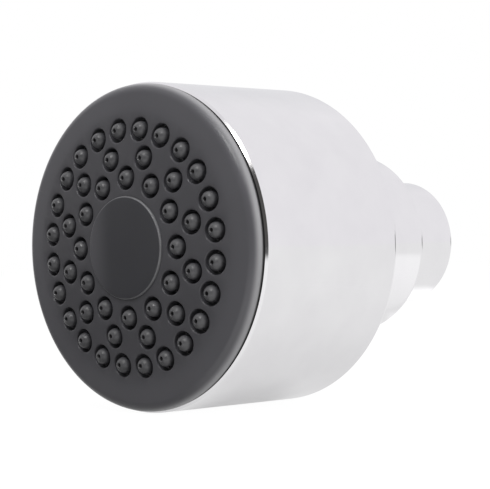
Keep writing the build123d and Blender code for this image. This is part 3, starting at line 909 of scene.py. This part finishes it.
# %% Nozzle mat
NIPPLE_AROUND = 32
NIPPLE_STEPS = 10
NIPPLE_RADIUS = 1.9 * MM
NIPPLE_PROUD = 1.2 * MM
NIPPLE_ROOT = 0.3 * MM
OUTLET_RADIUS = 0.5 * MM
OUTLET_EDGE = 0.12 * MM
OUTLET_CONE = 0.25 * MM
OUTLET_DEPTH = 2.4 * MM
MAT_HOLE = 8.65 * MM
mouth_angle = math.degrees(math.asin((OUTLET_RADIUS + OUTLET_EDGE) / NIPPLE_RADIUS)) - 90
root_y = face_back + NIPPLE_ROOT
bm = bmesh.new()
turn(bm, rounded([
    (MAT_HOLE, face_back, HAIR),
    (mat_high.x, face_back, HAIR),
    (mat_high.x, mat_high.y, HAIR),
    (MAT_HOLE, mat_high.y, HAIR),
], 2), FACE_AROUND)
for centre in nozzles:
    tip_y = dome_at(centre.length, NIPPLE_PROUD)
    section = [
        (0, tip_y + OUTLET_DEPTH),
        (OUTLET_RADIUS, tip_y + OUTLET_DEPTH),
        (OUTLET_RADIUS, tip_y + OUTLET_CONE),
    ]
    section += arc((0, tip_y + NIPPLE_RADIUS), NIPPLE_RADIUS, mouth_angle, 0, NIPPLE_STEPS)
    section += [(NIPPLE_RADIUS, root_y), (0, root_y)]
    turn(bm, section, NIPPLE_AROUND, closed=False, place=Matrix.Translation((centre.x, 0, centre.y)))
piece("nozzle_sheet", bm, "head", "nozzle_rubber", "nozzle_mat")

# %% [markdown]
# ## Cap
# The cap hides the screw that holds the head together. It follows the dome, a little proud of it, has a
# rounded edge, and is held by a ring that snaps into the boss behind it.

# %% Centre cap
CAP_AROUND = 128
CAP_EDGE = 0.5 * MM
CAP_EDGE_START = -87
CAP_EDGE_STEPS = 8
CAP_RING_OUT = 6.0 * MM
CAP_RING_IN = 4.9 * MM
CROWN_SHARES = (0, 0.2, 0.4, 0.6, 0.8, 0.9)
crown = [(cap_r * share, dome_at(cap_r * share, CAP_PROUD)) for share in CROWN_SHARES]
edge_centre = (cap_r - CAP_EDGE, dome_at(cap_r, CAP_PROUD) + CAP_EDGE)
bm = bmesh.new()
turn(bm, crown + arc(edge_centre, CAP_EDGE, CAP_EDGE_START, 0, CAP_EDGE_STEPS) + [
    (cap_r, cap_seat),
    (CAP_RING_OUT, cap_seat),
    (CAP_RING_OUT, cap_high.y),
    (CAP_RING_IN, cap_high.y),
    (CAP_RING_IN, cap_seat),
    (0, cap_seat),
], CAP_AROUND, closed=False)
piece("cap", bm, "head", "cap_plastic", "centre_cap")

# %% [markdown]
# ## What stays as the CAD made it
# The pieces inside keep their CAD form, because little of them shows and that form is right. Each takes
# the finish that its slot in the record asks for.

# %% Finishes for the CAD nodes
for part in frame["record"]["subparts"]:
    skin = finishes[part["material_slot"]].owner
    mesh = frame["nodes"][part["node"]].data
    mesh.materials.clear()
    mesh.materials.append(skin)
    print(part["node"], "in", skin.name)

# %% [markdown]
# ## White table
# The photograph was taken on white. To the camera the table is a white glow with a faint shadow under
# the head, which is what is left of its own matt surface. Chrome shows the table as well, so the Light
# Path node tells who looks: the camera, a mirror, or light on its way.

# %% Table
TABLE_SIZE = 4.0
TABLE_GREY = (0.55, 0.55, 0.55, 1)
floor_z = cad_box[0].z
bpy.ops.mesh.primitive_plane_add(size=TABLE_SIZE, location=(0, 0, floor_z))
floor = bpy.context.object
floor.name = "floor"
paper = new_finish("white_table", {"Base Color": TABLE_GREY, "Roughness": 0.9})
seen = paper.node("ShaderNodeLightPath", output="Is Camera Ray")
mirrored = paper.node("ShaderNodeLightPath", output="Is Glossy Ray")
print("table at", round(floor_z / MM, 2), "mm")

# %% [markdown]
# What the mirrors see of the table is not one white. Bright sheets beside the head, a table that ends in
# the dark on the left and in front, and a door far behind are painted into the table's glow, as painted
# reflections that only mirrors see. These are shares between 0 and 1, painted on the table by distances
# from points on it, because each has to be found again in a known place of the bell, the collar or the
# nut. A pair of lengths says where a share starts and where it is full.

# %% In front of the head and on its left
UNDER_FACE = (0, -73 * MM, 0)
FRONT_LIGHT = (22 * MM, 35 * MM)
FRONT_DARK = (180 * MM, 340 * MM)
LEFT_SIDE = (24 * MM, 6 * MM)
LEFT_FRONT = (22 * MM, 30 * MM)
under = paper.vector("SUBTRACT", {0: paper.place(), 1: UNDER_FACE})
sideways = paper.along(under, (1, 0, 0))
forward = paper.along(under, (0, -1, 0))
# Painted reflections: light in front of the head, dark on its left and far in front.
front_light = paper.fade(forward, *FRONT_LIGHT)
front_dark = paper.fade(forward, *FRONT_DARK)
left_dark = paper.fade(sideways, *LEFT_SIDE) * paper.fade(forward, *LEFT_FRONT)
print(f"dark beyond {FRONT_DARK[0] / MM:.0f} mm in front of the face")

# %% [markdown]
# The nut and the collar each show a bright patch below, which is a painted reflection: a sheet of glow
# painted on the table. Where a sheet has to lie is found by following a line of sight from the camera to
# the metal, and from there on to the table. It comes out slanted, so each sheet has its own direction
# across.

# %% Painted sheets that the nut and the collar mirror
NUT_ACROSS = (0.6, 0.8, 0)
NUT_LEFT = (12 * MM, -4 * MM)
NUT_NEAR = (3 * MM, 8 * MM)
NUT_FAR = (34 * MM, 27 * MM)
STRIP_MIDDLE = (83.4 * MM, 60.3 * MM, 0)
STRIP_ACROSS = (-0.74, 0.673, 0)
STRIP_ALONG = (0.673, 0.74, 0)
STRIP_WIDTH = (15 * MM, 10 * MM)
STRIP_LENGTH = (150 * MM, 30 * MM)
behind = paper.along(paper.place(), NUT_ACROSS)
nut_light = paper.fade(sideways, *NUT_LEFT) * paper.fade(behind, *NUT_NEAR) * paper.fade(behind, *NUT_FAR)
strip = paper.vector("SUBTRACT", {0: paper.place(), 1: STRIP_MIDDLE})
strip_light = paper.fade(abs(paper.along(strip, STRIP_ACROSS)), *STRIP_WIDTH)
strip_light = strip_light * paper.fade(abs(paper.along(strip, STRIP_ALONG)), *STRIP_LENGTH)
print(f"a sheet {2 * STRIP_WIDTH[0] / MM:.0f} mm wide for the collar, and one for the nut")

# %% [markdown]
# The door is a dark painted reflection on the table far behind the head, where the rounded back edges of
# the bell, the collar and the nut look. Seen from there it fills a range of directions, so it is given by
# angles and a distance.

# %% Painted door at the end of the table
DOOR_FROM = (0, -30 * MM, 0)
DOOR_ANGLES = [math.cos(math.radians(angle)) for angle in (34, 22)]
DOOR_REACH = (-0.60, -1.00)
from_head = paper.vector("SUBTRACT", {0: paper.place(), 1: DOOR_FROM})
towards = paper.along(paper.vector("NORMALIZE", {0: from_head}), (0, 1, 0))
door = paper.fade(towards, *DOOR_ANGLES) * paper.fade(forward, *DOOR_REACH)
print("a door from", -DOOR_REACH[0], "m behind the face")

# %% [markdown]
# The parts are laid over each other from the plain table up, and the camera's white goes on last. Close
# under the head mirrors see less of the glow and more of the table's own shadow.

# %% Glow of the table
TABLE_LEVEL = 0.91
CLEAR_NEAR = (10 * MM, 24 * MM)
CLEAR_FAR = (30 * MM, 110 * MM)
NEAR_SHARE = 0.52
CAMERA_GLOW = 0.88
SHADED_GLOW = 0.50


def grey(level):
    """A grey colour of this level."""
    return (level, level, level, 1)


glow_colour = grey(TABLE_LEVEL)
# Painted reflections in the table's glow, which only mirrors see; the camera's white goes on last.
for share, level in (
    (nut_light, 1.25),
    (strip_light, 1.05),
    (front_light, 1.0),
    (left_dark, 0.10),
    (front_dark, 0.10),
    (door, 0.25),
    (seen, 1.09),
):
    glow_colour = paper.blend(share, glow_colour, grey(level))
reach = paper.vector("LENGTH", {0: under}, "Value")
clear = NEAR_SHARE * paper.fade(reach, *CLEAR_NEAR) + (1 - NEAR_SHARE) * paper.fade(reach, *CLEAR_FAR)
glow_share = CAMERA_GLOW * seen + mirrored * (SHADED_GLOW + (1 - SHADED_GLOW) * clear)
matt = Wire(paper, paper.last.outputs[0])
glow = paper.node("ShaderNodeEmission", None, {"Color": glow_colour, "Strength": 1.0})
surface = paper.node("ShaderNodeMixShader", None, {0: glow_share, 1: matt, 2: glow})
paper.set(paper.tree.nodes["Material Output"], {"Surface": surface})
floor.data.materials.append(paper.owner)
print("table glows at", TABLE_LEVEL, "to mirrors")

# %% [markdown]
# ## Studio
# The world is white to the camera, an even fill to matt surfaces, and a room to mirrors: pale walls, the
# grey room in front, the dark side where the camera stands, and a few lamps. A patch of the walls is
# round or straight-sided and given by a direction and angles, so no picture of a room is needed.

# %% Patches of the walls
AHEAD_ONLY = (0.0, 0.3)
PANEL_FADE = 1.5
world = bpy.data.worlds.new("studio")
bpy.context.scene.world = world
sky = Finish(world, "Background")
outward = sky.node("ShaderNodeTexCoord", output="Generated")


def patch(direction, outer, inner):
    """Share of a round patch of the studio's walls round a direction, between two angles in degrees."""
    facing = sky.along(outward, Vector(direction).normalized())
    return sky.fade(facing, math.cos(math.radians(outer)), math.cos(math.radians(inner)))


def panel(direction, upright, wide, tall):
    """Share of a straight-sided patch: this many degrees to either side, and up and down."""
    middle = Vector(direction).normalized()
    side = Vector(upright).cross(middle).normalized()
    inside = sky.fade(sky.along(outward, middle), *AHEAD_ONLY)
    for axis, half in ((side, wide), (middle.cross(side), tall)):
        edge = math.sin(math.radians(half))
        inside = inside * sky.fade(abs(sky.along(outward, axis)), PANEL_FADE * edge, edge)
    return inside


print("walls take round and straight-sided patches")

# %% [markdown]
# The patches are laid over the plain wall one by one, as on the table. Only the lamp is much brighter
# than white, as a real one is, and the cloth round it keeps its edge soft.

# %% Walls of the studio
UPRIGHT = (0, 0, 1)
LAMP_TILT = (-0.80, 0.31, 0.52)
WALL = (0.91, 0.90, 0.92, 1)
FILL = 0.58
studio = {
    "room in front": (patch((-0.25, -0.95, -0.17), 86, 48), (0.26, 0.255, 0.25, 1)),
    "camera's side": (patch((0.73, -0.68, -0.05), 62, 34), (0.085, 0.083, 0.080, 1)),
    "far corner": (patch((-0.69, 0.72, 0), 48, 8), (0.80, 0.80, 0.82, 1)),
    "door": (panel((0, 1, 0), UPRIGHT, 22, 2.2), grey(0.25)),
    "side screen": (panel((0.87, -0.35, 0.34), UPRIGHT, 9, 18), grey(0.70)),
    "lamp's cloth": (panel((0.30, -0.54, 0.79), LAMP_TILT, 5, 11), (1.3, 1.29, 1.26, 1)),
    "lamp": (panel((0.31, -0.54, 0.78), LAMP_TILT, 4, 6), (14.0, 13.9, 13.6, 1)),
}
walls = WALL
for share, colour in studio.values():
    walls = sky.blend(share, walls, colour)
by_mirror = sky.node("ShaderNodeLightPath", output="Is Glossy Ray")
by_camera = sky.node("ShaderNodeLightPath", output="Is Camera Ray")
light = sky.blend(by_mirror, grey(FILL), walls)
sky.set(sky.last, {"Color": sky.blend(by_camera, light, grey(1)), "Strength": 1.0})
print("on the walls:", ", ".join(studio))

# %% [markdown]
# ## Lamps
# Two large soft lamps give the face its shape: one high in front, and one on the right that reaches the
# rolled edge. Mirrors don't see them, because the studio's walls already hold what chrome should show.

# %% Softboxes
AIM = Vector((0, -60 * MM, 0))
LAMP_DISTANCE = 0.9
LAMPS = {
    "front_box": ((0.16, -0.54, 0.83), 0.62, 0.42, 7.0),
    "right_strip": ((0.98, 0.12, 0.05), 0.5, 0.9, 9.0),
}
for name, (direction, width, height, watts) in LAMPS.items():
    lamp = bpy.data.lights.new(name, "AREA")
    lamp.shape = "RECTANGLE"
    lamp.size = width
    lamp.size_y = height
    lamp.energy = watts
    holder = bpy.data.objects.new(name, lamp)
    holder.location = AIM + Vector(direction).normalized() * LAMP_DISTANCE
    holder.rotation_euler = (holder.location - AIM).to_track_quat("Z", "Y").to_euler()
    holder.visible_glossy = False
    bpy.context.collection.objects.link(holder)
    print(f"{name}: {watts} W")

# %% [markdown]
# ## Camera
# The place was worked out from the 48 nozzles: a photograph of points whose places are known fixes the
# camera. It stands level with the head, 43 degrees round to the right, turned about one degree.

# %% Camera
AZIMUTH = 43.3331
ROLL = -1.1807
FOCAL_PIXELS = 1912.0
IMAGE_WIDTH = 490
SENSOR_WIDTH = 36.0
CAMERA_OFFSET = Vector((322.15, -301.10, 0.23)) * MM
azimuth, roll = math.radians(AZIMUTH), math.radians(ROLL)
level_right = Vector((math.cos(azimuth), math.sin(azimuth), 0))
level_up = Vector((0, 0, 1))
right = math.cos(roll) * level_right + math.sin(roll) * level_up
up = math.cos(roll) * level_up - math.sin(roll) * level_right
turned = Matrix((right, up, right.cross(up))).transposed()
lens = bpy.data.cameras.new("camera")
lens.sensor_width = SENSOR_WIDTH
lens.lens = SENSOR_WIDTH * FOCAL_PIXELS / IMAGE_WIDTH
lens.clip_start = 0.01
camera = bpy.data.objects.new("camera", lens)
camera.matrix_world = Matrix.Translation(Vector((0, apex_y, 0)) + CAMERA_OFFSET) @ turned.to_4x4()
bpy.context.collection.objects.link(camera)
bpy.context.scene.camera = camera
bpy.context.scene.view_settings.view_transform = "Standard"
print("lens", round(lens.lens, 1), "mm")

# %% [markdown]
# ## Sizes
# The dressed head has to be exactly as large as the measured one.
